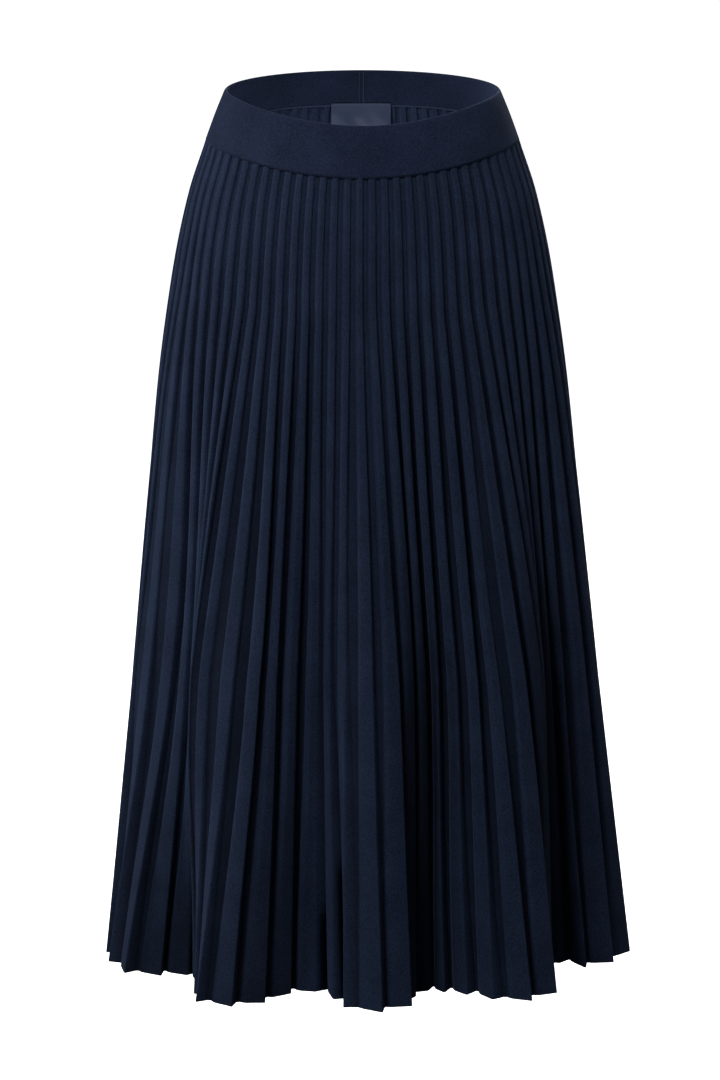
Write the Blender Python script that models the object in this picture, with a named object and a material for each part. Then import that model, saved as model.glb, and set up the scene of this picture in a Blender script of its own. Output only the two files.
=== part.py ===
# Pleated knit skirt: a doubled waistband, a front and a back panel of standing
# pleats, and a blank label inside the centre back. Metres, +Z up, front to -Y.
# The origin is the middle of the waist opening, halfway down the waistband.

import math

import bpy
import numpy as np

MM = 0.001

PLEATS = 72                 # pleats all round, half of them on each panel
PANEL_WALL = 1.6 * MM       # knit wall of the pleated panels
BAND_WALL = 3.0 * MM        # doubled knit of the waistband
SEAM_GAP = 0.3 * MM         # left open between pieces that are sewn together
HEM_HEIGHT = -811.0         # mm, the level hem
PANEL_ROWS = 19             # rows of faces from the band seam to the hem

# Broad face and return of one pleat, mm, at the band seam and at the hem.
BROAD_FACE = (6.9, 26.0)
RETURN_FACE = (5.4, 14.0)
LONGEST_MITRE = 2.6         # of half a wall, at the sharpest pleat edges
INNER_ROOM = 7.5            # least step between the inner edges of neighbouring pleats

# Unpleated form of the skirt, mm.
SECTIONS = (
    # name, height, half width, front depth, back depth
    ("band seam", -24, 148, 103.5, 125.5),
    ("high hip", -70, 163, 116, 139),
    ("hip", -150, 180, 130, 150),
    ("thigh", -260, 196.5, 142, 157),
    ("knee", -500, 221, 166, 172),
    ("hem", -811, 253, 192, 190),
)
HIP_HEIGHT = -150.0
KNEE_HEIGHT = -500.0
SIDE_SPREAD = 0.30          # pleats open this much more over the side of the hip

# Waist opening and band seam, mm.
EDGES = (
    # name, height at front, at side, at back, and the rise between side and back
    ("top edge", 13.5, 29.0, 29.0, 0.0),
    ("band seam", -33.5, -18.0, -11.0, 4.0),
)
WAIST_HALF_WIDTH = 128.0
WAIST_HALF_DEPTH = 94.0

# Where the pleat edges stand at the knee and at the hem, mm, front half.
FRONT_FOLDS = (
    # pleat, knee across, knee forward, hem across, hem forward
    (-15, -216, 42, -249, 54),
    (-14, -201, 66, -245, 80),
    (-13, -180, 84, -228, 110),
    (-12, -166, 96, -194, 117),
    (-11, -159, 106, -168, 116),
    (-10, -161, 119, -161, 124),
    (-9, -161, 131, -160, 142),
    (-8, -144, 138, -160, 163),
    (-7, -121, 151, -158, 184),
    (-6, -97, 160, -123, 196),
    (-5, -80, 158, -92, 186),
    (-4, -61, 148, -69, 163),
    (-3, -43, 147, -45, 158),
    (-2, -31, 158, -27, 178),
    (-1, -17, 169, -17, 198),
    (0, 10, 176, 18, 211),
    (1, 34, 167, 47, 195),
    (2, 48, 153, 51, 169),
    (3, 58, 147, 63, 156),
    (4, 70, 147, 78, 160),
    (5, 87, 148, 99, 166),
    (6, 108, 151, 123, 178),
    (7, 127, 150, 161, 181),
    (8, 153, 136, 185, 160),
    (9, 168, 120, 183, 135),
    (10, 171, 103, 176, 113),
    (11, 170, 89, 177, 92),
    (12, 177, 80, 191, 84),
    (13, 189, 77, 215, 96),
    (14, 210, 66, 243, 81),
    (15, 222, 42, 260, 51),
)

# Soft folds of the unseen back half, set out from the form at the hem, mm.
BACK_FOLDS = (
    # pleat, out from the form
    (18.5, -20),
    (22.0, 9),
    (25.3, -21),
    (28.7, 15),
    (32.2, -23),
    (35.6, 17),
    (39.2, -23),
    (42.9, 13),
    (46.6, -22),
    (50.2, 8),
    (53.7, -21),
)
KNEE_SHARE = 0.45           # how much of a back fold has formed at the knee

LABEL_WIDTH = 61.0
LABEL_ASIDE = 1.3           # off the centre back, to the wearer's right, mm
LABEL_WALL = 1.0
LABEL_ROWS = (
    # above the band seam, inside the form, mm
    (3.0, 5.0),
    (0.5, 4.9),
    (-12.0, 6.3),
    (-25.0, 7.2),
    (-38.0, 8.0),
)

COLOURS = {
    "waistband": (0.014, 0.019, 0.035, 1.0),
    "skirt_front": (0.012, 0.016, 0.030, 1.0),
    "skirt_back": (0.012, 0.016, 0.030, 1.0),
    "label": (0.10, 0.14, 0.20, 1.0),
}


def curve(stations, rows, at, period=None):
    # smooth curve through the rows, one row for each station
    stations = np.asarray(stations, float)
    rows = np.asarray(rows, float)
    if period:
        stations = np.concatenate([stations[-2:] - period, stations, stations[:2] + period])
        rows = np.concatenate([rows[-2:], rows, rows[:2]])
    slopes = np.empty_like(rows)
    slopes[1:-1] = (rows[2:] - rows[:-2]) / (stations[2:] - stations[:-2])[:, None]
    slopes[0] = (rows[1] - rows[0]) / (stations[1] - stations[0])
    slopes[-1] = (rows[-1] - rows[-2]) / (stations[-1] - stations[-2])
    at = np.atleast_1d(np.asarray(at, float))
    i = np.clip(np.searchsorted(stations, at, side="right") - 1, 0, len(stations) - 2)
    step = (stations[i + 1] - stations[i])[:, None]
    s = (at - stations[i])[:, None] / step
    return ((2 * s**3 - 3 * s**2 + 1) * rows[i] + (s**3 - 2 * s**2 + s) * step * slopes[i]
            + (-2 * s**3 + 3 * s**2) * rows[i + 1] + (s**3 - s**2) * step * slopes[i + 1])


def oval(angle, half_width, front, back):
    # plan point at an angle from the centre front, turning towards +X
    depth = np.where(np.cos(angle) > 0, front, back)
    return np.stack([half_width * np.sin(angle), -depth * np.cos(angle)], -1)


def form_point(height, angle):
    heights = [-row[1] for row in SECTIONS]
    sizes = curve(heights, [row[2:] for row in SECTIONS], -np.atleast_1d(height))
    return oval(angle, sizes[:, 0], sizes[:, 1], sizes[:, 2])


def edge_height(row, angle):
    front, side, back, rise = EDGES[row][1:]
    lean = np.cos(angle)
    height = side + np.where(lean > 0, front - side, back - side) * np.abs(lean) ** 2.6
    return height + np.where(lean > 0, 0, rise) * np.sin(2 * angle) ** 2


def pleat_angles(height):
    # pleats at even steps round the form, spread over the sides of the hip
    fine = np.linspace(0, 2 * math.pi, 1441)
    points = form_point(np.full(fine.shape, float(height)), fine)
    step = np.linalg.norm(np.diff(points, axis=0), axis=1)
    spread = SIDE_SPREAD * np.interp(-height, (24, -HIP_HEIGHT, -KNEE_HEIGHT), (0.4, 1.0, 0.0))
    step /= 1 + spread * np.sin(0.5 * (fine[1:] + fine[:-1])) ** 2
    run = np.concatenate([[0], np.cumsum(step)])
    return np.interp(np.arange(PLEATS) / PLEATS * run[-1], run, fine)


def fold_shift(height, columns, share):
    # how far the folds carry each pleat edge away from the form at this height
    level = np.full(PLEATS, height)
    angles = pleat_angles(height)
    form = form_point(level, angles)
    nudge = form_point(level, angles + 0.01) - form_point(level, angles - 0.01)
    out = np.stack([nudge[:, 1], -nudge[:, 0]], -1) / np.linalg.norm(nudge, axis=1)[:, None]
    rows = []
    for row in FRONT_FOLDS:
        spot = np.array([row[columns], -row[columns + 1]])
        rows.append((row[0], *(spot - form[row[0] % PLEATS])))
    for pleat, reach in BACK_FOLDS:
        outward = curve(range(PLEATS), out, pleat)[0]
        rows.append((pleat, *(share * reach * outward)))
    rows = np.array(rows)
    pleats = np.arange(PLEATS)
    pleats = np.where(pleats > BACK_FOLDS[-1][0], pleats - PLEATS, pleats)
    pleats = np.where(pleats < FRONT_FOLDS[0][0], pleats + PLEATS, pleats)
    return curve(rows[:, 0], rows[:, 1:], pleats, period=PLEATS)


KNEE_SHIFT = fold_shift(KNEE_HEIGHT, 1, KNEE_SHARE)
HEM_SHIFT = fold_shift(HEM_HEIGHT, 3, 1.0)


def pleat_edges(share):
    # outer edge of every pleat, share 0 at the band seam and 1 at the hem
    side = EDGES[1][2]
    angles = pleat_angles(side + (HEM_HEIGHT - side) * share)
    heights = edge_height(1, angles) * (1 - share) + HEM_HEIGHT * share
    still = np.zeros((2 * PLEATS,))
    stations = (-HIP_HEIGHT - 120, -HIP_HEIGHT, -KNEE_HEIGHT, -HEM_HEIGHT)
    shifts = (still, still, KNEE_SHIFT.ravel(), HEM_SHIFT.ravel())
    level = side + (HEM_HEIGHT - side) * share
    shift = curve(stations, shifts, max(-level, stations[0]))[0].reshape(PLEATS, 2)
    return np.column_stack([form_point(heights, angles) + shift, heights])


def pleat_loop(share):
    # outer edge, inner edge, outer edge and so on all round, mm: each inner edge
    # closes the triangle of a return face and a broad face on its pair of outer edges
    outer = pleat_edges(share)
    after = np.roll(outer, -1, axis=0)
    broad = BROAD_FACE[0] + (BROAD_FACE[1] - BROAD_FACE[0]) * share
    back = RETURN_FACE[0] + (RETURN_FACE[1] - RETURN_FACE[0]) * share
    chord = after[:, :2] - outer[:, :2]
    pitch = np.linalg.norm(chord, axis=1)
    along = chord / pitch[:, None]
    inward = np.stack([-along[:, 1], along[:, 0]], -1)
    held = np.clip(pitch, 1.05 * abs(broad - back), 0.985 * (broad + back))
    foot = np.maximum((held**2 + back**2 - broad**2) / (2 * held), 0.15 * held)
    # on a tight outward turn the pleats are shallower, so that they do not meet inside
    heading = np.unwrap(np.arctan2(along[:, 1], along[:, 0]))
    turn = (heading - np.roll(heading, 1) + math.pi) % (2 * math.pi) - math.pi
    room = (0.5 * (pitch + np.roll(pitch, 1)) - INNER_ROOM) / np.maximum(turn, 0.01)
    depth = np.sqrt(back**2 - foot**2)
    depth = np.minimum(depth, np.minimum(room, np.roll(room, -1)))
    inner = outer[:, :2] + along * (foot * pitch / held)[:, None] + inward * depth[:, None]
    inner = np.column_stack([inner, (outer[:, 2] + after[:, 2]) / 2])
    return np.stack([outer, inner], 1).reshape(2 * PLEATS, 3)


def mitres(points):
    # vector at each point that carries a closed plan line out by one unit
    ahead = np.roll(points, -1, axis=0) - points
    ahead /= np.linalg.norm(ahead, axis=1)[:, None]
    normal = np.stack([ahead[:, 1], -ahead[:, 0]], -1)
    before = np.roll(normal, 1, axis=0)
    reach = (normal + before) / (1 + np.sum(normal * before, axis=1))[:, None]
    length = np.linalg.norm(reach, axis=1)[:, None]
    return reach * np.minimum(length, LONGEST_MITRE) / length


def panel_lines(first, last, share):
    # wall faces of one panel at one level: from the middle of the broad face before
    # pleat `first` to the middle of the broad face before pleat `last`
    loop = pleat_loop(share)
    plan = loop[:, :2]
    reach = mitres(plan) * (PANEL_WALL / MM / 2)
    ahead = np.roll(plan, -1, axis=0) - plan
    length = np.linalg.norm(ahead, axis=1)
    normal = np.stack([ahead[:, 1], -ahead[:, 0]], -1) / length[:, None] * (PANEL_WALL / MM / 2)
    index = np.arange(2 * first, 2 * last) % (2 * PLEATS)
    outer = np.column_stack([plan + reach, loop[:, 2]])[index]
    inner = np.column_stack([plan - reach, loop[:, 2]])[index]
    gap = SEAM_GAP / MM / 2
    ends = []
    for place, side in ((2 * first - 1, 1), (2 * last - 1, -1)):
        place %= 2 * PLEATS
        onward = (place + 1) % (2 * PLEATS)
        middle = (loop[place] + loop[onward]) / 2
        middle[:2] += side * gap * ahead[place] / length[place]
        turn = np.append(normal[place], 0)
        ends.append((middle + turn, middle - turn))
    outer = np.vstack([ends[0][0], outer, ends[1][0]])
    inner = np.vstack([ends[0][1], inner, ends[1][1]])
    return outer, inner


def shell(name, outer, inner):
    # closed wall between two grids of points (rows, across, xyz), mm
    rows, across = outer.shape[:2]
    points = np.concatenate([outer.reshape(-1, 3), inner.reshape(-1, 3)]) * MM
    size = rows * across
    at = np.arange(size).reshape(rows, across)
    faces = []
    for lift, flip in ((0, False), (size, True)):
        a, b = at[:-1, :-1] + lift, at[:-1, 1:] + lift
        c, d = at[1:, 1:] + lift, at[1:, :-1] + lift
        quads = np.stack([a, b, c, d] if flip else [a, d, c, b], -1)
        faces.append(quads.reshape(-1, 4))
    rim = np.concatenate([at[0, :], at[1:, -1], at[-1, -2::-1], at[-2:0:-1, 0]])
    after = np.roll(rim, -1)
    faces.append(np.stack([rim, after, after + size, rim + size], -1))
    return build(name, points, np.concatenate(faces))


def build(name, points, faces):
    mesh = bpy.data.meshes.new(name)
    mesh.from_pydata(points.tolist(), [], faces.tolist())
    mesh.validate()
    material = bpy.data.materials.new(name)
    material.use_nodes = True
    surface = material.node_tree.nodes["Principled BSDF"]
    surface.inputs["Base Color"].default_value = COLOURS[name]
    surface.inputs["Roughness"].default_value = 0.35 if name == "label" else 0.85
    mesh.materials.append(material)
    mesh.polygons.foreach_set("use_smooth", [True] * len(mesh.polygons))
    mesh.set_sharp_from_angle(angle=math.radians(38))
    thing = bpy.data.objects.new(name, mesh)
    bpy.context.scene.collection.objects.link(thing)
    return thing


def make_panel(name, first, last):
    # the first rows stand closer, where the pleats leave the band
    shares = np.linspace(0, 1, PANEL_ROWS + 1) ** 1.15
    grids = [panel_lines(first, last, share) for share in shares]
    outer = np.array([grid[0] for grid in grids])
    inner = np.array([grid[1] for grid in grids])
    drop = SEAM_GAP / MM / 2 * (1 - shares)[:, None]
    outer[:, :, 2] -= drop
    inner[:, :, 2] -= drop
    return shell(name, outer, inner)


def band_point(angle, rise, out):
    # rise 0 at the band seam and 1 at the top edge, out from the middle of the wall
    low_height = edge_height(1, angle)
    low = form_point(low_height, angle)
    top = oval(angle, WAIST_HALF_WIDTH, WAIST_HALF_DEPTH, WAIST_HALF_DEPTH)
    plan = low + (top - low) * rise[:, None]
    ahead = np.roll(plan, -1, axis=0) - np.roll(plan, 1, axis=0)
    normal = np.stack([ahead[:, 1], -ahead[:, 0]], -1) / np.linalg.norm(ahead, axis=1)[:, None]
    height = low_height + (edge_height(0, angle) - low_height) * rise
    return np.column_stack([plan + normal * out, height])


def make_waistband():
    half = BAND_WALL / MM / 2
    # wall section from the seam up the outside, over the folded top and down the inside
    section = ((0.0, 1.0), (0.3, 1.0), (0.65, 1.0), (0.95, 1.0), (0.99, 0.7), (1.0, 0.0),
               (0.99, -0.7), (0.95, -1.0), (0.65, -1.0), (0.3, -1.0), (0.0, -1.0))
    angles = np.interp(np.arange(2 * PLEATS) / 2, range(PLEATS + 1),
                       np.append(pleat_angles(EDGES[1][2]), 2 * math.pi))
    rings = []
    for rise, out in section:
        ring = band_point(angles, np.full(len(angles), rise), out * half - 1.0)
        ring[:, 2] += SEAM_GAP / MM / 2 * (1 - rise)
        rings.append(ring)
    grid = np.array(rings)
    rows, across = grid.shape[:2]
    at = np.arange(rows * across).reshape(rows, across)
    onward = np.roll(at, -1, axis=1)
    up = np.roll(at, -1, axis=0)
    faces = np.stack([at, onward, np.roll(onward, -1, axis=0), up], -1).reshape(-1, 4)
    return build("waistband", grid.reshape(-1, 3) * MM, faces)


def make_label():
    across = 13
    half_turn = LABEL_WIDTH / 2 / SECTIONS[0][2]
    middle = math.pi + LABEL_ASIDE / SECTIONS[0][2]
    angles = middle + np.linspace(-half_turn, half_turn, across)
    faces = []
    for side in (-0.5, 0.5):
        grid = []
        for rise, lift in LABEL_ROWS:
            narrow = middle + (angles - middle) * (1 + 0.001 * rise)
            height = edge_height(1, narrow) + rise
            plan = form_point(height, narrow)
            nudge = form_point(height, narrow + 0.01) - form_point(height, narrow - 0.01)
            out = np.stack([nudge[:, 1], -nudge[:, 0]], -1)
            out /= np.linalg.norm(out, axis=1)[:, None]
            plan = plan - out * (lift - side * LABEL_WALL)
            grid.append(np.column_stack([plan, height]))
        faces.append(np.array(grid))
    return shell("label", faces[1], faces[0])


def main():
    for thing in list(bpy.data.objects):
        bpy.data.objects.remove(thing, do_unlink=True)
    half = PLEATS // 4
    make_waistband()
    make_panel("skirt_front", -half, half)
    make_panel("skirt_back", half, PLEATS - half)
    make_label()


main()
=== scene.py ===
# Pleated knit skirt, filled out and hollow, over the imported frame.
# Lengths in the dictionaries are millimetres unless they say otherwise; +Z up, front to -Y.

import math

import bpy
import numpy as np
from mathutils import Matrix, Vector


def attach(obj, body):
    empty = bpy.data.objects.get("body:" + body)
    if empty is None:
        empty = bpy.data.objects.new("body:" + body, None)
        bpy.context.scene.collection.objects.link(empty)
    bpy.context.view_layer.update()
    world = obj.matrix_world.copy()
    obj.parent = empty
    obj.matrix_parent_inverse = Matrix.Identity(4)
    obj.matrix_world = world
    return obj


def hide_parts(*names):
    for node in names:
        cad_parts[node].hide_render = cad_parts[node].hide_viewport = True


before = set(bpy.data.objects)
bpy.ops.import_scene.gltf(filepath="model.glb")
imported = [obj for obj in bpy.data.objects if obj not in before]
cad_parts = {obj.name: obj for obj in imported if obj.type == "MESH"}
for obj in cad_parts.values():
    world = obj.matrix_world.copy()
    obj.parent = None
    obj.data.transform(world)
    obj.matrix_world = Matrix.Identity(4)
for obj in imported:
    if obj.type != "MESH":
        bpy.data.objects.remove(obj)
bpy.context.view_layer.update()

mm = 0.001


def linearColour(hexCode):
    # sRGB hex to linear: below 0.04045 a straight twelfth, above it the 2.4 power
    parts = np.array([int(hexCode[i:i + 2], 16) for i in (1, 3, 5)]) / 255.0
    linear = np.where(parts <= 0.04045, parts / 12.92, ((parts + 0.055) / 1.055) ** 2.4)
    return (*[float(c) for c in linear], 1.0)


def addNode(tree, kind, settings=None, inputs=None, links=None):
    # one shader node, its own settings, its constant inputs and what feeds it
    node = tree.nodes.new(kind)
    for key, value in (settings or {}).items():
        setattr(node, key, value)
    for key, value in (inputs or {}).items():
        node.inputs[key].default_value = value
    for key, source in (links or {}).items():
        tree.links.new(source, node.inputs[key])
    return node


def newMaterial(name):
    material = bpy.data.materials.new(name)
    material.use_nodes = True
    material.node_tree.nodes.clear()
    return material, material.node_tree


def curveThrough(stations, rows, at, period=None):
    # cubic through rows given at stations; the slope at each row is that of its two neighbours
    stations = np.asarray(stations, float)
    rows = np.asarray(rows, float)
    if period:
        stations = np.concatenate([stations[-2:] - period, stations, stations[:2] + period])
        rows = np.concatenate([rows[-2:], rows, rows[:2]])
    slopes = np.empty_like(rows)
    slopes[1:-1] = (rows[2:] - rows[:-2]) / (stations[2:] - stations[:-2])[:, None]
    slopes[0] = (rows[1] - rows[0]) / (stations[1] - stations[0])
    slopes[-1] = (rows[-1] - rows[-2]) / (stations[-1] - stations[-2])
    at = np.atleast_1d(np.asarray(at, float))
    i = np.clip(np.searchsorted(stations, at, side="right") - 1, 0, len(stations) - 2)
    step = (stations[i + 1] - stations[i])[:, None]
    s = (at - stations[i])[:, None] / step
    return ((2 * s**3 - 3 * s**2 + 1) * rows[i] + (s**3 - 2 * s**2 + s) * step * slopes[i]
            + (-2 * s**3 + 3 * s**2) * rows[i + 1] + (s**3 - s**2) * step * slopes[i + 1])


def smoothStep(value, low, high):
    s = np.clip((value - low) / (high - low), 0, 1)
    return s * s * (3 - 2 * s)


def gridFaces(rows, across, aroundRows=False, aroundAcross=False):
    # quads of a grid of points, closed round either way where asked
    at = np.arange(rows * across).reshape(rows, across)
    if aroundRows:
        at = np.vstack([at, at[:1]])
    if aroundAcross:
        at = np.hstack([at, at[:, :1]])
    return np.stack([at[:-1, :-1], at[1:, :-1], at[1:, 1:], at[:-1, 1:]], -1).reshape(-1, 4)


def addPiece(name, points, faces, material, uv=None, values=None):
    # mesh from whole arrays; uv and values are given per point
    points = np.asarray(points, np.float32).reshape(-1, 3)
    faces = np.asarray(faces, np.int32)
    mesh = bpy.data.meshes.new(name)
    mesh.vertices.add(len(points))
    mesh.vertices.foreach_set("co", points.ravel())
    mesh.loops.add(faces.size)
    mesh.loops.foreach_set("vertex_index", faces.ravel())
    mesh.polygons.add(len(faces))
    mesh.polygons.foreach_set("loop_start", np.arange(len(faces), dtype=np.int32) * faces.shape[1])
    mesh.polygons.foreach_set("use_smooth", np.ones(len(faces), bool))
    mesh.update(calc_edges=True)
    mesh.validate()
    if uv is not None:
        corner = np.empty(len(mesh.loops), np.int32)
        mesh.loops.foreach_get("vertex_index", corner)
        layer = mesh.uv_layers.new(name="cloth")
        layer.data.foreach_set("uv", np.asarray(uv, np.float32).reshape(-1, 2)[corner].ravel())
    for key, value in (values or {}).items():
        mesh.attributes.new(key, "FLOAT", "POINT").data.foreach_set(
            "value", np.asarray(value, np.float32).ravel())
    mesh.materials.append(material)
    piece = bpy.data.objects.new(name, mesh)
    bpy.context.scene.collection.objects.link(piece)
    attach(piece, "root")
    return piece


def shellOf(outer, inner):
    # closed shell from the two faces of a cloth, with a rim all round
    rows, across = outer.shape[:2]
    at = np.arange(rows * across).reshape(rows, across)
    rim = np.concatenate([at[0, :], at[1:, -1], at[-1, -2::-1], at[-2:0:-1, 0]])
    onward = np.roll(rim, -1)
    faces = np.concatenate([
        gridFaces(rows, across),
        gridFaces(rows, across)[:, ::-1] + rows * across,
        np.stack([rim, onward, onward + rows * across, rim + rows * across], -1),
    ])
    return np.concatenate([outer.reshape(-1, 3), inner.reshape(-1, 3)]), faces


print("helpers ready")

# the form of the skirt, in the same sizes as the solids
skirtForm = {
    "pleats": 72,
    "hemHeight": -811.0,
    "kneeHeight": -500.0,
    "hipHeight": -150.0,
    "sideSpread": 0.30,         # pleats open this much more over the side of the hip
    "sideSpreadAtBand": 0.4,    # and this share of that at the band
    "waistHalfWidth": 128.0,
    "waistHalfDepth": 94.0,
    "edgeRound": 2.6,           # how flat the waistband's edges run over the sides
    "broadFace": (6.9, 26.0),   # the two faces of a pleat: at the band seam, at the hem
    "returnFace": (5.4, 14.0),
    "innerRoom": 7.5,
    "kneeShare": 0.45,          # of the back folds' reach at the hem
    "softStart": 120.0,         # no fold at the hip nor this far above it
}

skirtSections = (
    # height, half width, front depth, back depth
    (-24, 148, 103.5, 125.5),
    (-70, 163, 116, 139),
    (-150, 180, 130, 150),
    (-260, 196.5, 142, 157),
    (-500, 221, 166, 172),
    (-811, 253, 192, 190),
)

edgeHeights = {
    # height at front, side, back, and how much higher it runs between side and back
    "topEdge": (13.5, 29.0, 29.0, 0.0),
    "bandSeam": (-33.5, -18.0, -11.0, 4.0),
}

frontFolds = (
    # pleat, knee across, knee forward, hem across, hem forward
    (-15, -216, 42, -249, 54),
    (-14, -201, 66, -245, 80),
    (-13, -180, 84, -228, 110),
    (-12, -166, 96, -194, 117),
    (-11, -159, 106, -168, 116),
    (-10, -161, 119, -161, 124),
    (-9, -161, 131, -160, 142),
    (-8, -144, 138, -160, 163),
    (-7, -121, 151, -158, 184),
    (-6, -97, 160, -123, 196),
    (-5, -80, 158, -92, 186),
    (-4, -61, 148, -69, 163),
    (-3, -43, 147, -45, 158),
    (-2, -31, 158, -27, 178),
    (-1, -17, 169, -17, 198),
    (0, 10, 176, 18, 211),
    (1, 34, 167, 47, 195),
    (2, 48, 153, 51, 169),
    (3, 58, 147, 63, 156),
    (4, 70, 147, 78, 160),
    (5, 87, 148, 99, 166),
    (6, 108, 151, 123, 178),
    (7, 127, 150, 161, 181),
    (8, 153, 136, 185, 160),
    (9, 168, 120, 183, 135),
    (10, 171, 103, 176, 113),
    (11, 170, 89, 177, 92),
    (12, 177, 80, 191, 84),
    (13, 189, 77, 215, 96),
    (14, 210, 66, 243, 81),
    (15, 222, 42, 260, 51),
)

backFolds = (
    # pleat, out from the form at the hem
    (18.5, -20),
    (22.0, 9),
    (25.3, -21),
    (28.7, 15),
    (32.2, -23),
    (35.6, 17),
    (39.2, -23),
    (42.9, 13),
    (46.6, -22),
    (50.2, 8),
    (53.7, -21),
)


def oval(angle, halfWidth, front, back):
    # an ellipse in plan whose front and back halves have their own depth
    depth = np.where(np.cos(angle) > 0, front, back)
    return np.stack([halfWidth * np.sin(angle), -depth * np.cos(angle)], -1)


def formPoint(height, angle):
    # plan point on the unpleated form: the oval whose sizes are read between the sections
    height, angle = np.broadcast_arrays(np.asarray(height, float), np.asarray(angle, float))
    stations = [-row[0] for row in skirtSections]
    sizes = curveThrough(stations, [row[1:] for row in skirtSections], -height.ravel())
    sizes = sizes.reshape(height.shape + (3,))
    return oval(angle, sizes[..., 0], sizes[..., 1], sizes[..., 2])


def formNormal(height, angle, nudge=0.01):
    # unit plan normal of the form, square to the line between two near points
    step = formPoint(height, angle + nudge) - formPoint(height, angle - nudge)
    size = np.linalg.norm(step, axis=-1, keepdims=True)
    return np.stack([step[..., 1], -step[..., 0]], -1) / size


def edgeHeight(edge, angle):
    # front, side and back heights joined by a power of the cosine, with a lift between
    front, side, back, lift = edgeHeights[edge]
    lean = np.cos(angle)
    share = np.abs(lean) ** skirtForm["edgeRound"]
    height = side + np.where(lean > 0, front - side, back - side) * share
    return height + np.where(lean > 0, 0, lift) * np.sin(2 * angle) ** 2


def pleatAngles(height):
    # angles that share out the girth, with wider steps over the side of the hip
    fine = np.linspace(0, 2 * math.pi, 1441)
    points = formPoint(float(height), fine)
    step = np.linalg.norm(np.diff(points, axis=0), axis=1)
    stations = (-skirtSections[0][0], -skirtForm["hipHeight"], -skirtForm["kneeHeight"])
    share = np.interp(-height, stations, (skirtForm["sideSpreadAtBand"], 1.0, 0.0))
    spread = skirtForm["sideSpread"] * share
    step /= 1 + spread * np.sin(0.5 * (fine[1:] + fine[:-1])) ** 2
    run = np.concatenate([[0], np.cumsum(step)])
    count = skirtForm["pleats"]
    return np.interp(np.arange(count) / count * run[-1], run, fine)


def foldShift(height, column, share):
    # how far the folds carry each pleat edge from the form, read smoothly round the tables
    count = skirtForm["pleats"]
    angles = pleatAngles(height)
    form = formPoint(height, angles)
    out = formNormal(height, angles)
    rows = [(row[0], *(np.array([row[column], -row[column + 1]]) - form[row[0] % count]))
            for row in frontFolds]
    rows += [(pleat, *(share * reach * curveThrough(range(count), out, pleat)[0]))
             for pleat, reach in backFolds]
    rows = np.array(rows)
    pleats = np.arange(count)
    pleats = np.where(pleats > backFolds[-1][0], pleats - count, pleats)
    pleats = np.where(pleats < frontFolds[0][0], pleats + count, pleats)
    return curveThrough(rows[:, 0], rows[:, 1:], pleats, period=count)


def pleatEdges(shares):
    # outer edge of every pleat, at every share of the way from the band seam to the hem: the
    # form's point plus a shift that grows from nothing at the hip to the folds' at the hem
    count, hem = skirtForm["pleats"], skirtForm["hemHeight"]
    side = edgeHeights["bandSeam"][1]
    levels = side + (hem - side) * shares
    angles = np.array([pleatAngles(level) for level in levels])
    heights = edgeHeight("bandSeam", angles) * (1 - shares)[:, None] + hem * shares[:, None]
    knee = foldShift(skirtForm["kneeHeight"], 1, skirtForm["kneeShare"]).ravel()
    foot = foldShift(hem, 3, 1.0).ravel()
    hip = -skirtForm["hipHeight"]
    stations = (hip - skirtForm["softStart"], hip, -skirtForm["kneeHeight"], -hem)
    still = np.zeros_like(knee)
    shift = curveThrough(stations, (still, still, knee, foot), np.maximum(-levels, stations[0]))
    plan = formPoint(heights, angles) + shift.reshape(len(shares), count, 2)
    return np.concatenate([plan, heights[..., None]], -1)


print("form ready")

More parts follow.
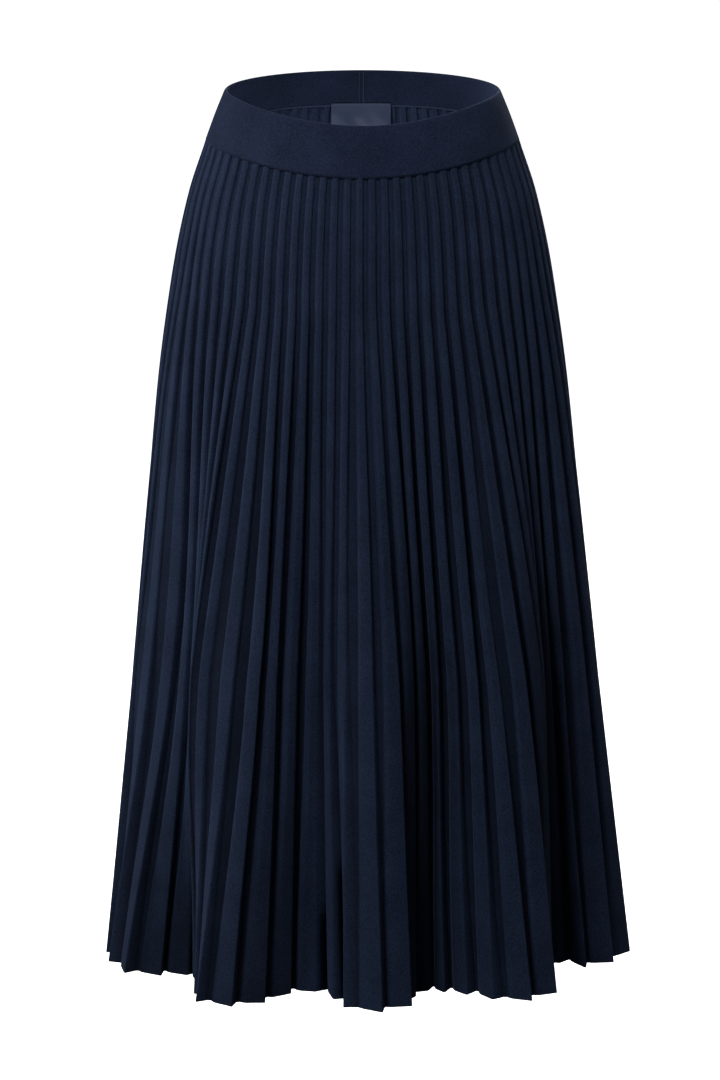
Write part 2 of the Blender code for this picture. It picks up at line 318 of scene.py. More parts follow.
pleatedPanels = {
    "rows": 80,                 # rows of points from the band seam to the hem
    "tuck": 1.6,                # the top edge runs up inside the band
    "hemTurn": 1.0,             # last row, where the hem's edge rounds over
    "wall": 1.1,
    # box rib below the band: its channel takes this share of the pitch at each share of the
    # drop; groove, floor, groove and rib start stand at these shares of the channel
    "boxShare": ((0, 0.55), (0.4, 0.55), (1, 0.5)),
    "boxPlaces": (0.11, 0.5, 0.9, 1.0),
    "boxDepth": ((0, 2.5), (0.42, 4.8)),
    "boxUntil": (0.38, 0.92),   # the box rib turns into a knife pleat over this share
    "floorRise": 0.2,           # the channel's floor stands proud of its two grooves
    "grooveHalf": 0.6,          # a knife pleat's grooves lie this far from its fold
    "shutFrom": (0.05, 0.38),   # pleats that hang shut close up over this share of the drop,
    "shutDepth": 0.9,           # are deeper by this share
    "shutLate": 0.26,           # and turn into knife pleats this much later
    # how nearly shut a pleat hangs, by its place from the centre front
    "shutPleats": ((-17, 0.4), (-14, 0.7), (-9, 0.9), (-4, 1.0), (-3, 0.25), (-2, 0.1),
                   (0, 0.05), (1, 0.3), (2, 0.95), (6, 0.9), (9, 0.5), (12, 0.6), (17, 0.4),
                   (36, 0.5)),
    # pleats gathered into the side of the left front fold are this shallow at the hem
    "shallowPleats": ((-12, 1.0), (-11, 0.5), (-10, 0.3), (-9, 0.3), (-8, 0.4), (-7, 1.0)),
    "shallowFrom": (0.3, 0.65),
    # painted shade: how much darker the cloth is painted far down in the pockets between the soft
    # folds, where they lie in shade, and at which share of the drop that sets in
    "pockets": ((-17, 0.0, 0.65), (-14, 0.38, 0.65), (-9, 0.38, 0.65), (-8, 0.1, 0.65),
                (-6, 0.3, 0.6), (-4, 0.3, 0.6), (-3, 0.0, 0.5), (0, 0.0, 0.35), (1, 0.65, 0.35),
                (2, 0.75, 0.35), (3, 0.75, 0.35), (4, 0.3, 0.35), (5, 0.0, 0.35), (7, 0.0, 0.35),
                (8, 0.56, 0.35), (11, 0.56, 0.35), (12, 0.35, 0.4), (14, 0.0, 0.4)),
    "pocketRun": 0.35,          # and over which share it grows
    "paintedFoldShade": 0.45,          # painted shade: what is left of the colour deep in a shut pleat, against 1 on its outer edge
    "foldOpen": (0.45, 0.6),    # painted shade: an open rib is painted darker by this share of that, and a knife pleat by this share of the rest as well
                                # by this share of the rest as well
    "shoulder": 0.2,            # where the broad face bends out of the valley
    "ridgeRound": (1.4, 1.0),   # at the band, at the hem
    "valleyRound": (0.6, 0.8),
    "shoulderRound": (1.5, 4.0),
    "faceBow": 0.9,             # broad faces belly out this much at the hem
    "sway": 0.8,                # a pleat edge wanders this much
    "swayFrom": (0.12, 0.6),    # and comes to it over this share of the drop
    "swayTurns": (2.2, 4.5),    # in so many half waves
    "depthSpread": 0.08,        # a pleat's depth varies by this share
    "pitchLimits": (1.05, 0.985),   # shares of the faces' difference and of their sum
    "leastFoot": 0.15,          # a fold stays this share of the pitch from the edge
    "seamGap": 0.3,
    "clothStep": 50.0,          # the knit starts this much further on in each pleat
    "flatWidth": (0.45, 1.476),     # metres, one panel's cut at the band and at the hem
    "flatLength": 0.786,
    "seed": 7,
}


def fromTable(rows, column=1):
    # a value a pleat, read straight between the rows of a table round the skirt
    count = skirtForm["pleats"]
    fromFront = (np.arange(count) + count // 2) % count - count // 2
    return np.interp(fromFront, [row[0] for row in rows], [row[column] for row in rows],
                     period=count)


def chordsOf(edge):
    # unit step in plan from each pleat edge to the next, and its length
    chord = (np.roll(edge, -1, axis=1) - edge)[..., :2]
    pitch = np.linalg.norm(chord, axis=-1)
    return chord / pitch[..., None], pitch


def knifePleat(down, along, pitch):
    # the fold is the corner of a triangle on the pitch whose two sides are the pleat's faces;
    # its depth is held back where the pleats would meet inside a tight turn
    broad = np.interp(down, (0, 1), skirtForm["broadFace"])
    back = np.interp(down, (0, 1), skirtForm["returnFace"])
    least, most = pleatedPanels["pitchLimits"]
    held = np.clip(pitch, least * np.abs(broad - back), most * (broad + back))
    foot = np.maximum((held**2 + back**2 - broad**2) / (2 * held),
                      pleatedPanels["leastFoot"] * held)
    heading = np.unwrap(np.arctan2(along[..., 1], along[..., 0]), axis=1)
    turn = (heading - np.roll(heading, 1, axis=1) + math.pi) % (2 * math.pi) - math.pi
    room = 0.5 * (pitch + np.roll(pitch, 1, axis=1)) - skirtForm["innerRoom"]
    room = room / np.maximum(turn, 0.01)
    depth = np.minimum(np.sqrt(back**2 - foot**2), np.minimum(room, np.roll(room, -1, axis=1)))
    return foot * pitch / held, depth


def pleatCorners(shares):
    # five corners a pleat: outer edge, groove, floor, groove, rib start. Near the band they
    # make a box rib; lower down the channel closes to a fold and the rib opens to a broad face
    random = np.random.default_rng(pleatedPanels["seed"])
    count = skirtForm["pleats"]
    edge = pleatEdges(shares)
    phase = random.uniform(0, 2 * math.pi, (2, count))
    wave = random.uniform(*pleatedPanels["swayTurns"], (2, count)) * math.pi
    down = shares[:, None]
    along, pitch = chordsOf(edge)
    sway = pleatedPanels["sway"] * smoothStep(down, *pleatedPanels["swayFrom"])
    edge[..., :2] += along * (sway * np.sin(wave[0] * down + phase[0]))[..., None]
    along, pitch = chordsOf(edge)
    inward = np.stack([-along[..., 1], along[..., 0]], -1)
    after = np.roll(edge, -1, axis=1)
    foot, depth = knifePleat(down, along, pitch)
    depth = depth * (1 + pleatedPanels["depthSpread"] * np.sin(wave[1] * down + phase[1]))

    shutHem, gathered = (fromTable(pleatedPanels[key]) for key in ("shutPleats", "shallowPleats"))
    late = pleatedPanels["shutLate"] * shutHem
    box = 1 - smoothStep(down - late, *pleatedPanels["boxUntil"])
    shut = smoothStep(down, *pleatedPanels["shutFrom"]) * shutHem
    depth = depth * (1 + (gathered - 1) * smoothStep(down, *pleatedPanels["shallowFrom"]))
    shallow = np.interp(down, *zip(*pleatedPanels["boxDepth"]))
    shallow = shallow * (1 + pleatedPanels["shutDepth"] * shut)
    depth = depth * (1 - box) + np.minimum(depth, shallow) * box

    bend, half = pleatedPanels["shoulder"], pleatedPanels["grooveHalf"]
    knife = (foot - half, foot, foot + half, foot + bend * (pitch - foot))
    width = np.interp(down, *zip(*pleatedPanels["boxShare"])) * pitch
    places = [width * part * box + place * (1 - box)
              for part, place in zip(pleatedPanels["boxPlaces"], knife)]
    places = np.stack([np.zeros_like(pitch), *places], -1)
    floor = depth - pleatedPanels["floorRise"] * box
    shoulder = ((1 - bend) * depth - pleatedPanels["faceBow"] * down) * (1 - box)
    depths = np.stack([np.zeros_like(depth), depth, floor, depth, shoulder], -1)
    plan = (edge[..., None, :2] + along[..., None, :] * places[..., None]
            + inward[..., None, :] * depths[..., None])
    part = places / pitch[..., None]
    height = edge[..., None, 2] * (1 - part) + after[..., None, 2] * part
    # with the corners goes the painted shade at each corner: darker deep in a pleat and in the
    # pockets between the soft folds
    return np.concatenate([plan, height[..., None]], -1), paintedFoldShade(down, shut, box)


def paintedFoldShade(down, shut, box):
    # painted shade: what is left of the colour at each corner, less deep in a pleat and less again
    # in a pocket between the soft folds
    least, rest = pleatedPanels["foldOpen"]
    deep = least + (1 - least) * np.maximum(shut, rest * (1 - box))
    deep = np.stack(np.broadcast_arrays(0.0, deep, deep, deep, 0.0), -1)
    pocket, setIn = (fromTable(pleatedPanels["pockets"], column) for column in (1, 2))
    pocket = np.stack([np.minimum(pocket, np.roll(pocket, 1))] + [pocket] * 4, -1)
    pocket = pocket * smoothStep(down, setIn, setIn + pleatedPanels["pocketRun"])[..., None]
    return (1 - (1 - pleatedPanels["paintedFoldShade"]) * deep) * (1 - pocket)


def roundedLoop(corners, reach):
    # each corner becomes a short parabola between points cut back by its reach
    rows, count, each = corners.shape[:3]
    loop = corners.reshape(rows, count * each, 3)
    reach = np.broadcast_to(reach[:, None, :], (rows, count, each)).reshape(rows, -1)
    before, after = np.roll(loop, 1, axis=1) - loop, np.roll(loop, -1, axis=1) - loop
    lengthBefore = np.linalg.norm(before, axis=-1)
    lengthAfter = np.linalg.norm(after, axis=-1)
    cut = np.minimum(reach, 0.45 * np.minimum(lengthBefore, lengthAfter))
    start = loop + before * (cut / lengthBefore)[..., None]
    stop = loop + after * (cut / lengthAfter)[..., None]
    middle = 0.25 * start + 0.5 * loop + 0.25 * stop
    return np.stack([start, middle, stop], 2).reshape(rows, -1, 3)


def outwardOf(loops):
    # unit normal of closed loops that run down the rows and to +X at the front across them
    down = np.gradient(loops, axis=0)
    over = np.roll(loops, -1, axis=1) - np.roll(loops, 1, axis=1)
    normal = np.cross(down, over)
    return normal / np.maximum(np.linalg.norm(normal, axis=2, keepdims=True), 1e-9)


def clothMap(middle, each):
    # millimetres along the cloth: round each pleat from its edge, and down from the band
    rows, count = len(middle), skirtForm["pleats"]
    across = np.linalg.norm(np.roll(middle, -1, axis=1) - middle, axis=-1)
    across = across.reshape(rows, count, each)
    local = (np.cumsum(across, axis=2) - across).reshape(rows, -1)
    around = local + np.repeat(np.arange(count), each)[None, :] * pleatedPanels["clothStep"]
    drop = np.linalg.norm(np.diff(middle, axis=0), axis=-1).mean(1)
    down = np.concatenate([[0], np.cumsum(drop)])
    return np.stack([around, np.broadcast_to(down[:, None], around.shape)], -1)


def makePanels(material):
    # the rounded loops of pleat corners, one a row, set out and in by half the wall along their
    # normals; the front takes half of each loop and the back the other half
    length = edgeHeights["bandSeam"][1] - skirtForm["hemHeight"]
    drop = np.linspace(0, 1 - pleatedPanels["hemTurn"] / length, pleatedPanels["rows"])
    shares = np.concatenate([[-pleatedPanels["tuck"] / length], drop, [1.0]])
    ridge, valley, shoulder = (np.interp(shares, (0, 1), pleatedPanels[key])
                               for key in ("ridgeRound", "valleyRound", "shoulderRound"))
    corners, paintedShade = pleatCorners(shares)
    middle = roundedLoop(corners, np.stack([ridge, valley, valley, valley, shoulder], -1))
    normal = outwardOf(middle)
    half = pleatedPanels["wall"] / 2
    around = middle.shape[1]
    each = around // skirtForm["pleats"]
    uv = clothMap(middle, each) * mm
    paintedShade = np.repeat(paintedShade, 3, axis=2).reshape(len(shares), around)
    drop = pleatedPanels["flatLength"]
    for name, node, first in (("frontPanel", "skirt_front", -18), ("backPanel", "skirt_back", 18)):
        columns = np.arange(first * each - 1, first * each + around // 2) % around
        sides = []
        for surface in (middle + normal * half, middle - normal * half):
            side = surface[:, columns].copy()
            for end, neighbour in ((0, 1), (-1, -2)):
                edge = side[:, neighbour] - side[:, end]
                gap = pleatedPanels["seamGap"] / 2 / np.linalg.norm(edge, axis=-1)
                side[:, end] += edge * gap[:, None]
            sides.append(side)
        points, faces = shellOf(*sides)
        panelUv = np.tile(uv[:, columns].reshape(-1, 2), (2, 1))
        # painted shade on the outer face; the inner face keeps its full colour
        panelPaintedShade = np.concatenate([paintedShade[:, columns].ravel(), np.ones(paintedShade[:, columns].size)])
        panel = addPiece(name, points * mm, faces, material, panelUv, {"paintedShade": panelPaintedShade})
        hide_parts(node)
    for name, first in (("sideSeamRight", -18), ("sideSeamLeft", 18)):
        columns = (first * each - 1 + np.arange(-1, 2)) % around
        makeSideSeam(name, material, middle[1:-1, columns], normal[1:-1, columns[1]], half)


sideSeam = {
    "halfWidth": 3.5,
    "setIn": 0.1,               # from the cloth's inner face
    "thick": 0.5,
}


def makeSideSeam(name, material, cloth, out, half):
    # overlocked edge of the side seam: a strip of three lines of points, the seam's own and one
    # either side of it on the cloth, moved in along the seam's normals
    line = cloth[:, 1]
    strip = []
    for aside in (0, 1, 2):
        step = cloth[:, aside] - line
        size = np.maximum(np.linalg.norm(step, axis=1, keepdims=True), 1e-6)
        strip.append(line + step * np.minimum(sideSeam["halfWidth"] / size, 1.0))
    strip = np.stack(strip, 1) - out[:, None] * (half + sideSeam["setIn"])
    points, faces = shellOf(strip, strip - out[:, None] * sideSeam["thick"])
    piece = addPiece(name, points * mm, faces, material, points[:, 1:] * mm,
                     {"paintedShade": np.ones(len(points))})


waistband = {
    "around": 540,              # points round the band
    "rows": 16,                 # and up each of its faces
    "turnRows": 9,              # and over the fold
    "wall": 3.0,
    "foldFrom": 0.96,           # share of the height where the fold's half round starts
    "setIn": 1.0,               # the wall's middle stands this far inside the form
    "belly": 1.1,               # the outside swells between its edges
    "lowerLip": 0.1,            # the lower edge stands proud of the ribs
    "lipFade": 14,
    "crease": (-2.4, 1.3, 0.22),    # centre front: where, half width, depth
}


def bandPoint(angle, rise, out):
    # straight from the band seam to the top edge, moved out along the plan normal
    lowHeight = edgeHeight("bandSeam", angle)
    low = formPoint(lowHeight, angle)
    halfWidth, halfDepth = skirtForm["waistHalfWidth"], skirtForm["waistHalfDepth"]
    top = oval(angle, halfWidth, halfDepth, halfDepth)
    plan = low + (top - low) * rise[..., None]
    over = np.roll(plan, -1, axis=1) - np.roll(plan, 1, axis=1)
    normal = np.stack([over[..., 1], -over[..., 0]], -1)
    normal /= np.linalg.norm(normal, axis=-1, keepdims=True)
    height = lowHeight + (edgeHeight("topEdge", angle) - lowHeight) * rise
    return np.concatenate([plan + normal * out[..., None], height[..., None]], -1)


def makeBand(material):
    # wall section: up the outside, a half round over the top fold and down the inside
    half, fold = waistband["wall"] / 2, waistband["foldFrom"]
    up = np.linspace(0, fold, waistband["rows"])
    turn = np.linspace(0, math.pi, waistband["turnRows"])[1:-1]
    rise = np.concatenate([up, fold + (1 - fold) * np.sin(turn), up[::-1]])
    swell = waistband["belly"] * np.sin(math.pi * up) * 0.5
    lip = waistband["lowerLip"] * np.exp(-up * waistband["lipFade"])
    out = np.concatenate([half + swell + lip, half * np.cos(turn), -half + swell[::-1]])
    around = waistband["around"]
    angles = np.linspace(0, 2 * math.pi, around, endpoint=False)
    angle = np.broadcast_to(angles, (len(rise), around))
    place, width, deep = waistband["crease"]
    across = skirtForm["waistHalfWidth"] * np.sin(angles) - place
    crease = deep * np.exp(-(across / width) ** 2) * (np.cos(angles) > 0)
    outside = (out > 0)[:, None]
    grid = bandPoint(angle, np.broadcast_to(rise[:, None], angle.shape),
                     out[:, None] - waistband["setIn"] - crease[None, :] * outside)
    step = np.linalg.norm(np.roll(grid, -1, axis=1) - grid, axis=-1).mean(0)
    run = np.concatenate([[0], np.cumsum(step)[:-1]])
    rowStep = np.linalg.norm(np.diff(grid, axis=0), axis=-1).mean(1)
    climb = np.concatenate([[0], np.cumsum(rowStep)])
    uv = np.stack(np.broadcast_arrays(run[None, :], climb[:, None]), -1) * mm
    faces = gridFaces(len(rise), around, aroundRows=True, aroundAcross=True)[:, ::-1]
    band = addPiece("waistbandKnit", grid * mm, faces, material, uv)
    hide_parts("waistband")


seams = {
    "sides": 8,                 # of a thread's section
    "stitchPitch": 3.2,         # drawn coarser than the real 1.2 so that it shows
    "linkingSteps": 1440,       # the linked seam where the ribs join the band, inside
    "linkingRise": 0.012,       # share of the band's height
    "linkingRadius": 0.8,
    "linkingDepth": 3.1,        # inside the form
    "linkingSwell": 0.2,
    "closingSteps": 90,         # the join at the centre back
    "closingRise": (0.03, 0.955),
    "closingRows": ((-2.6, 0.3), (1.3, 0.65)),  # where, radius
    "closingNarrow": 0.87,      # the waist's width over the band seam's, so the rows run straight
    "closingDepth": 2.75,
    "closingSwell": 0.25,
    "closingBeat": 5,           # steps to a stitch
    "closingEnd": 0.05,         # each row runs out to this share of its radius
}


def tubeAlong(path, radius, closed=True):
    # round tube along a path of points; the frame keeps its first axis nearest to upright
    if closed:
        tangent = np.roll(path, -1, axis=0) - np.roll(path, 1, axis=0)
    else:
        tangent = np.gradient(path, axis=0)
    tangent /= np.linalg.norm(tangent, axis=1)[:, None]
    hint = np.where(np.abs(tangent[:, 2:3]) > 0.7, (0.0, 1.0, 0.0), (0.0, 0.0, 1.0))
    first = np.cross(tangent, hint)
    first /= np.linalg.norm(first, axis=1)[:, None]
    second = np.cross(tangent, first)
    turn = np.linspace(0, 2 * math.pi, seams["sides"], endpoint=False)
    ring = (first[:, None] * np.cos(turn)[None, :, None]
            + second[:, None] * np.sin(turn)[None, :, None])
    return path[:, None] + ring * np.broadcast_to(radius, len(path))[:, None, None]


def makeSeams(material):
    # one ring of linked loops round the inside, and two rows of stitches up the centre back:
    # tubes whose radius swells once a stitch
    count, sides = seams["linkingSteps"], seams["sides"]
    angles = np.linspace(0, 2 * math.pi, count, endpoint=False)[None, :]
    ring = bandPoint(angles, np.full_like(angles, seams["linkingRise"]),
                     np.full_like(angles, -seams["linkingDepth"]))[0]
    run = np.cumsum(np.linalg.norm(np.roll(ring, -1, axis=0) - ring, axis=1))
    beats = round(run[-1] / seams["stitchPitch"])
    swell = 1 + seams["linkingSwell"] * np.cos(2 * math.pi * beats * run / run[-1])
    tube = tubeAlong(ring, seams["linkingRadius"] * swell)
    meshes = [(tube.reshape(-1, 3), gridFaces(count, sides, aroundRows=True, aroundAcross=True))]
    count = seams["closingSteps"]
    for across, radius in seams["closingRows"]:
        rise = np.linspace(*seams["closingRise"], count)[:, None]
        narrow = np.linspace(seams["closingNarrow"], 1, count)[:, None]
        angle = math.pi - across / skirtForm["waistHalfWidth"] * narrow
        line = bandPoint(np.hstack([angle - 0.01, angle, angle + 0.01]),
                         np.repeat(rise, 3, axis=1),
                         np.full((count, 3), -seams["closingDepth"]))[:, 1]
        beat = np.arange(count) * 2 * math.pi / seams["closingBeat"]
        swell = 1 + seams["closingSwell"] * np.cos(beat)
        swell[[0, -1]] = seams["closingEnd"]
        tube = tubeAlong(line, radius * swell, closed=False)
        meshes.append((tube.reshape(-1, 3), gridFaces(count, sides, aroundAcross=True)))
    points = np.concatenate([part[0] for part in meshes])
    starts = np.cumsum([0] + [len(part[0]) for part in meshes[:-1]])
    faces = np.concatenate([part[1] + start for part, start in zip(meshes, starts)])
    piece = addPiece("seamLoops", points * mm, faces, material)


satinLabel = {
    "width": 61.0,
    "flatSize": (0.061, 0.042),     # metres
    "aside": 1.3,               # off the centre back, to the wearer's right
    "rows": ((3.0, 5.0), (0.5, 4.9), (-12.0, 6.3), (-25.0, 7.2), (-38.0, 8.0)),  # rise, set in
    "thick": 0.5,
    "across": 61,               # points
    "down": 45,
    "flare": 0.001,             # the sides close in by this share a millimetre down
    "looseFrom": (2, 20),       # the label is free of the seam over this drop
    "lift": 0.7,                # and stands this much further in
    # ripples: height, waves across, waves down, start
    "ripples": ((1.0, 5.2, 0.05, 0), (0.6, 9.0, -0.12, 1)),
}


def makeLabel(material):
    # follows the form's back at a depth read from the rows, plus two soft sine ripples
    rows = np.array(satinLabel["rows"])
    rise = np.linspace(rows[0, 0], rows[-1, 0], satinLabel["down"])
    setIn = curveThrough(-rows[:, 0], rows[:, 1:], -rise)[:, 0]
    backWidth = skirtSections[0][1]
    halfTurn = satinLabel["width"] / 2 / backWidth
    turn = np.linspace(-halfTurn, halfTurn, satinLabel["across"])
    middle = math.pi + satinLabel["aside"] / backWidth
    angle = middle + turn[None, :] * (1 + satinLabel["flare"] * rise[:, None])
    height = edgeHeight("bandSeam", angle) + rise[:, None]
    plan = formPoint(height, angle)
    out = formNormal(height, angle)
    loose = smoothStep(-rise, *satinLabel["looseFrom"])[:, None]
    side = turn[None, :] / halfTurn
    ripple = sum(high * np.sin(across * side + down * rise[:, None] + start)
                 for high, across, down, start in satinLabel["ripples"])
    lift = setIn[:, None] + loose * ripple + satinLabel["lift"] * loose
    sides = []
    for push in (-0.5, 0.5):
        face = plan - out * (lift + push * satinLabel["thick"])[..., None]
        sides.append(np.concatenate([face, height[..., None]], -1))
    points, faces = shellOf(*sides)
    flat = np.stack(np.broadcast_arrays(turn[None, :] * backWidth, rise[:, None]), -1)
    uv = np.tile(flat.reshape(-1, 2) * mm, (2, 1))
    label = addPiece("satinLabel", points * mm, faces, material, uv)
    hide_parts("label")


knitLook = {
    "grain": 1.4286,            # clumps of fibre, drawn coarse so that they show
    "cloud": 35.714,            # soft patches of uneven dye
    "cloudShare": 0.35,         # the patches' weight against the grain's
    "mottleSpan": (0.5, 0.88),  # where the noise gives the dark and the light of the yarn
    "rowBeat": 0.3,             # the rows' part in the relief; the columns have the rest
    "stitchRelief": 0.22,
    "reliefStrength": 0.8,
    "sheen": 0.12,
    "sheenRound": 0.3,
    "sheenColour": "#7f93cc",
    "roughness": 0.85,
    "gloss": 0.06,
}

pleatCloth = {
    "yarn": ("#161f30", "#253047"),     # the dark and the light of the mottled yarn
    "wale": 1.3,                # width of a column of stitches
    "course": 1.0,              # height of a row of stitches
    "paintedStitchShade": 0.16,             # painted shade: the hollow between two columns is painted darker by this share, and a column's top painted lighter by as much
}

bandCloth = {
    # a darker copy of the pleats' yarn: painted shade, so that under these lamps the band keeps
    # the tone of the pleats
    "yarn": ("#141b2b", "#212a41"),
    "wale": 1.9,                # drawn coarser than the real 1.3 so that it shows
    "course": 1.2,
    # painted shade in the hollows and painted highlight on the columns, drawn strong so that the
    # ribs show
    "paintedStitchShade": 0.3,
}


def stitchHeight(tree, cloth):
    # two slanting legs a column: a hump across each leg, rising and falling down the rows
    uv = addNode(tree, "ShaderNodeUVMap", {"uv_map": "cloth"})
    split = addNode(tree, "ShaderNodeSeparateXYZ", links={0: uv.outputs[0]})
    column = addNode(tree, "ShaderNodeMath", {"operation": "MULTIPLY"},
                     {1: 1 / (cloth["wale"] * mm)}, {0: split.outputs[0]})
    part = addNode(tree, "ShaderNodeMath", {"operation": "FRACT"}, links={0: column.outputs[0]})
    centred = addNode(tree, "ShaderNodeMath", {"operation": "SUBTRACT"}, {1: 0.5},
                      {0: part.outputs[0]})
    aside = addNode(tree, "ShaderNodeMath", {"operation": "ABSOLUTE"},
                    links={0: centred.outputs[0]})
    leg = addNode(tree, "ShaderNodeMath", {"operation": "MULTIPLY"}, {1: 2 * math.pi},
                  {0: aside.outputs[0]})
    hump = addNode(tree, "ShaderNodeMath", {"operation": "SINE"}, links={0: leg.outputs[0]})
    row = addNode(tree, "ShaderNodeMath", {"operation": "MULTIPLY"},
                  {1: 1 / (cloth["course"] * mm)}, {0: split.outputs[1]})
    slant = addNode(tree, "ShaderNodeMath", {"operation": "ADD"},
                    links={0: row.outputs[0], 1: aside.outputs[0]})
    turn = addNode(tree, "ShaderNodeMath", {"operation": "MULTIPLY"}, {1: 2 * math.pi},
                   {0: slant.outputs[0]})
    beat = addNode(tree, "ShaderNodeMath", {"operation": "SINE"}, links={0: turn.outputs[0]})
    rows = knitLook["rowBeat"]
    soft = addNode(tree, "ShaderNodeMath", {"operation": "MULTIPLY_ADD"},
                   {1: rows, 2: 1 - rows}, {0: beat.outputs[0]})
    relief = addNode(tree, "ShaderNodeMath", {"operation": "MULTIPLY"},
                     links={0: hump.outputs[0], 1: soft.outputs[0]})
    return relief.outputs[0]


def knitMaterial(name, cloth, paintsFoldShade):
    # fine worsted knit, dyed navy: matt, with a short pale bloom of fibre at glancing angles;
    # on the pleats the colour is scaled by the shade attribute, painted shade deep in the pleats
    # and in the pockets between the folds
    material, tree = newMaterial(name)
    place = addNode(tree, "ShaderNodeTexCoord")
    grain = addNode(tree, "ShaderNodeTexNoise",
                    inputs={"Scale": 1 / (knitLook["grain"] * mm), "Detail": 2.0},
                    links={"Vector": place.outputs["Object"]})
    cloud = addNode(tree, "ShaderNodeTexNoise",
                    inputs={"Scale": 1 / (knitLook["cloud"] * mm), "Detail": 3.0},
                    links={"Vector": place.outputs["Object"]})
    both = addNode(tree, "ShaderNodeMath", {"operation": "MULTIPLY_ADD"},
                   {1: knitLook["cloudShare"]},
                   {0: cloud.outputs["Fac"], 2: grain.outputs["Fac"]})
    dark, light = knitLook["mottleSpan"]
    mottle = addNode(tree, "ShaderNodeMapRange", inputs={"From Min": dark, "From Max": light},
                     links={"Value": both.outputs[0]})
    yarn = addNode(tree, "ShaderNodeMix", {"data_type": "RGBA"},
                   {6: linearColour(cloth["yarn"][0]), 7: linearColour(cloth["yarn"][1])},
                   {"Factor": mottle.outputs["Result"]})
    colour = yarn.outputs[2]
    if paintsFoldShade:
        # painted shade: the colour is scaled by the pleats' shade attribute
        depth = addNode(tree, "ShaderNodeAttribute", {"attribute_name": "paintedShade"})
        colour = addNode(tree, "ShaderNodeVectorMath", {"operation": "SCALE"},
                         links={0: colour, "Scale": depth.outputs["Fac"]}).outputs[0]
    stitch = stitchHeight(tree, cloth)
    # painted shade in the hollows between the stitch columns and painted highlight on their tops,
    # following the relief
    ribs = addNode(tree, "ShaderNodeMapRange",
                   inputs={"To Min": 1 - cloth["paintedStitchShade"], "To Max": 1 + cloth["paintedStitchShade"]},
                   links={"Value": stitch})
    colour = addNode(tree, "ShaderNodeVectorMath", {"operation": "SCALE"},
                     links={0: colour, "Scale": ribs.outputs["Result"]})
    bump = addNode(tree, "ShaderNodeBump",
                   inputs={"Strength": knitLook["reliefStrength"],
                           "Distance": knitLook["stitchRelief"] * mm},
                   links={"Height": stitch})
    surface = addNode(tree, "ShaderNodeBsdfPrincipled",
                      inputs={"Roughness": knitLook["roughness"],
                              "Specular IOR Level": knitLook["gloss"],
                              "Sheen Weight": knitLook["sheen"],
                              "Sheen Roughness": knitLook["sheenRound"],
                              "Sheen Tint": linearColour(knitLook["sheenColour"])},
                      links={"Base Color": colour.outputs[0], "Normal": bump.outputs[0]})
    addNode(tree, "ShaderNodeOutputMaterial", links={"Surface": surface.outputs[0]})
    return material


threadLook = {
    "colour": "#242d45",
    "roughness": 0.8,
    "gloss": 0.2,
}


def threadMaterial():
    # spun polyester linking thread: a shade paler than the knit, nearly matt
    material, tree = newMaterial("navy_thread")
    surface = addNode(tree, "ShaderNodeBsdfPrincipled",
                      inputs={"Base Color": linearColour(threadLook["colour"]),
                              "Roughness": threadLook["roughness"],
                              "Specular IOR Level": threadLook["gloss"]})
    addNode(tree, "ShaderNodeOutputMaterial", links={"Surface": surface.outputs[0]})
    return material


satinLook = {
    "threads": ("#1a243a", "#2b364f"),
    "floats": (2.5, 0.3333),    # length and spacing, both drawn about twice the real size
    "relief": 0.05,
    "reliefStrength": 0.3,
    "roughness": 0.6,
    "streak": 0.4,
    "gloss": 0.35,
}


def satinMaterial():
    # woven polyester satin ribbon: its long floats give a soft streaked gloss
    material, tree = newMaterial("slate_satin")
    place = addNode(tree, "ShaderNodeUVMap", {"uv_map": "cloth"})
    long, narrow = satinLook["floats"]
    fine = addNode(tree, "ShaderNodeMapping",
                   inputs={"Scale": (1 / (long * mm), 1 / (narrow * mm), 1.0)},
                   links={"Vector": place.outputs[0]})
    thread = addNode(tree, "ShaderNodeTexNoise", inputs={"Scale": 1.0, "Detail": 2.0},
                     links={"Vector": fine.outputs[0]})
    dark, light = satinLook["threads"]
    colour = addNode(tree, "ShaderNodeMix", {"data_type": "RGBA"},
                     {6: linearColour(dark), 7: linearColour(light)},
                     {"Factor": thread.outputs["Fac"]})
    bump = addNode(tree, "ShaderNodeBump",
                   inputs={"Strength": satinLook["reliefStrength"],
                           "Distance": satinLook["relief"] * mm},
                   links={"Height": thread.outputs["Fac"]})
    surface = addNode(tree, "ShaderNodeBsdfPrincipled",
                      inputs={"Roughness": satinLook["roughness"],
                              "Anisotropic": satinLook["streak"],
                              "Specular IOR Level": satinLook["gloss"]},
                      links={"Base Color": colour.outputs[2], "Normal": bump.outputs[0]})
    addNode(tree, "ShaderNodeOutputMaterial", links={"Surface": surface.outputs[0]})
    return material


pleatKnit = knitMaterial("navy_pleated_knit", pleatCloth, True)
bandKnit = knitMaterial("navy_rib_knit", bandCloth, False)
print("materials ready")
makePanels(pleatKnit)
print("panels made")
makeBand(bandKnit)
makeSeams(threadMaterial())
makeLabel(satinMaterial())
print("waistband, seams and label made")

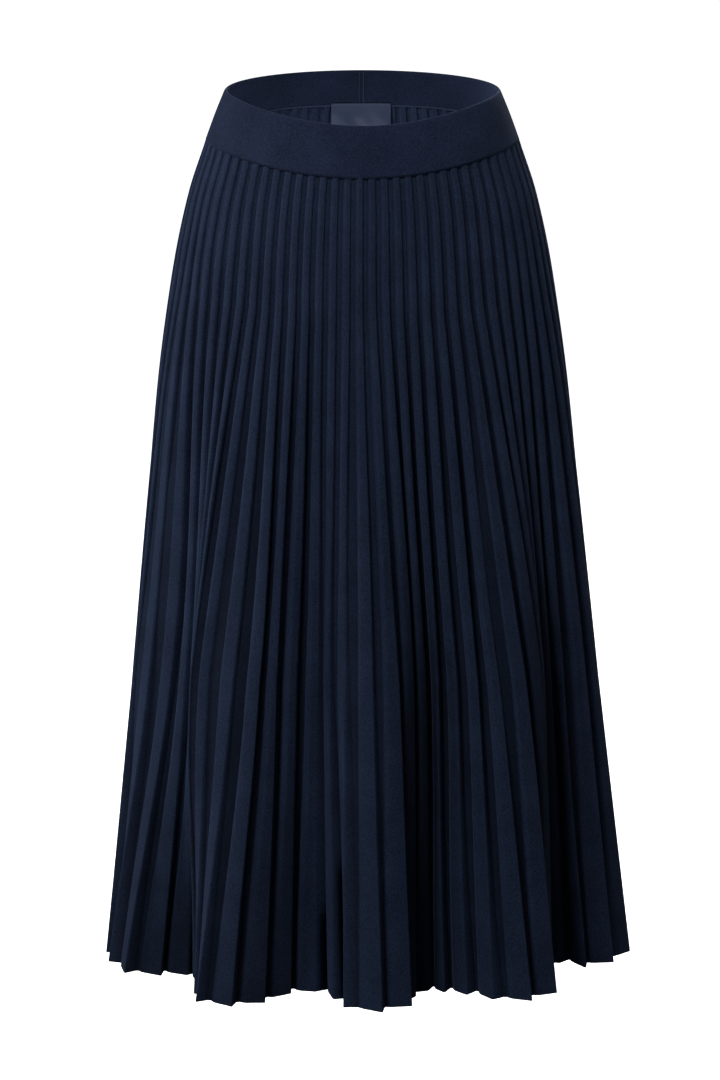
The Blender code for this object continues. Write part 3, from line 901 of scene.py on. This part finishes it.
studio = {
    # metres and degrees from here on
    "floorHeight": -1.6,
    "coveRadius": 30.0,
    "coveHeight": 60.0,
    "coveBend": 0.3,            # share of the radius where the floor sweeps up
    "coveSides": 96,
    "glow": 1.0,
    "ambient": 0.1,
    "cameraPlace": (-0.0023, -4.5, 0.924),
    "cameraPitch": 16.51,       # down
    "lens": 163.2,
    # place, aim, width, height, watts, spread; below 180 there is a grid in front
    "lights": {
        "keyLeft": ((-1.4, -2.5, 2.0), (0, 0, -0.2), 1.1, 1.1, 93, 180),
        "rimLeft": ((-2.7, 0.3, 0.8), (0, 0, -0.1), 0.8, 1.5, 62, 180),
        "rimRight": ((2.6, 1.0, 1.0), (0, 0, -0.05), 0.6, 1.4, 20, 180),
        "topRight": ((1.7, -1.5, 1.3), (0.05, -0.1, 0.03), 0.8, 0.8, 0.55, 35),
        "backKey": ((1.2, 3.4, 1.7), (0, 0, -0.3), 1.4, 1.4, 110, 180),
        "insideFill": ((-0.04, -0.03, -0.2), (-0.07, 0.09, 0.01), 0.16, 0.08, 0.36, 180),
    },
}


def addCove():
    # white paper: a level floor that sweeps up into a wall all round, closed far overhead
    radius, height, low = studio["coveRadius"], studio["coveHeight"], studio["floorHeight"]
    sweep, sides = studio["coveBend"], studio["coveSides"]
    bend = np.linspace(0, math.pi / 2, 13)
    rings = np.concatenate([[[0.02, 0.0], [radius * 0.4, 0.0]],
                            np.stack([radius * (1 - sweep + sweep * np.sin(bend)),
                                      radius * sweep * (1 - np.cos(bend))], -1),
                            [[radius, height], [radius * 0.02, height * 1.05]]])
    turn = np.linspace(0, 2 * math.pi, sides, endpoint=False)
    points = np.stack([rings[:, :1] * np.cos(turn), rings[:, :1] * np.sin(turn),
                       np.broadcast_to(rings[:, 1:] + low, (len(rings), sides))], -1)
    mesh = bpy.data.meshes.new("studioCove")
    faces = gridFaces(len(rings), sides, aroundAcross=True)[:, ::-1].tolist()
    last = len(rings) * sides - 1
    faces += [list(range(sides)), list(range(last, last - sides, -1))]
    mesh.from_pydata(points.reshape(-1, 3).tolist(), [], faces)
    material, tree = newMaterial("white_paper")
    surface = addNode(tree, "ShaderNodeBsdfPrincipled",
                      inputs={"Base Color": linearColour("#f2f2f2"), "Roughness": 0.9,
                              "Emission Color": (1.0, 1.0, 1.0, 1.0),
                              "Emission Strength": studio["glow"]})
    addNode(tree, "ShaderNodeOutputMaterial", links={"Surface": surface.outputs[0]})
    mesh.materials.append(material)
    cove = bpy.data.objects.new("studioCove", mesh)
    cove.visible_diffuse = False
    cove.visible_glossy = False
    cove.visible_shadow = False
    bpy.context.scene.collection.objects.link(cove)


def addLights():
    # soft boxes, each turned to face its aim
    for name, (place, aim, width, height, watts, spread) in studio["lights"].items():
        light = bpy.data.lights.new(name, "AREA")
        light.shape = "RECTANGLE"
        light.size, light.size_y = width, height
        light.energy = watts
        light.spread = math.radians(spread)
        lamp = bpy.data.objects.new(name, light)
        lamp.location = place
        lamp.rotation_euler = (Vector(aim) - Vector(place)).to_track_quat("-Z", "Y").to_euler()
        bpy.context.scene.collection.objects.link(lamp)


def addCamera():
    camera = bpy.data.cameras.new("studioCamera")
    camera.lens = studio["lens"]
    camera.sensor_width = 36.0
    camera.clip_end = 200.0
    holder = bpy.data.objects.new("studioCamera", camera)
    holder.location = studio["cameraPlace"]
    holder.rotation_euler = (math.radians(90 - studio["cameraPitch"]), 0, 0)
    bpy.context.scene.collection.objects.link(holder)
    bpy.context.scene.camera = holder


def addWorld():
    world = bpy.data.worlds.new("studioWorld")
    world.use_nodes = True
    world.node_tree.nodes.clear()
    glow = addNode(world.node_tree, "ShaderNodeBackground",
                   inputs={"Color": (1.0, 1.0, 1.0, 1.0), "Strength": studio["ambient"]})
    addNode(world.node_tree, "ShaderNodeOutputWorld", links={"Surface": glow.outputs[0]})
    bpy.context.scene.world = world


addCove()
addLights()
addCamera()
addWorld()
bpy.context.scene.view_settings.view_transform = "Standard"
print("studio ready")
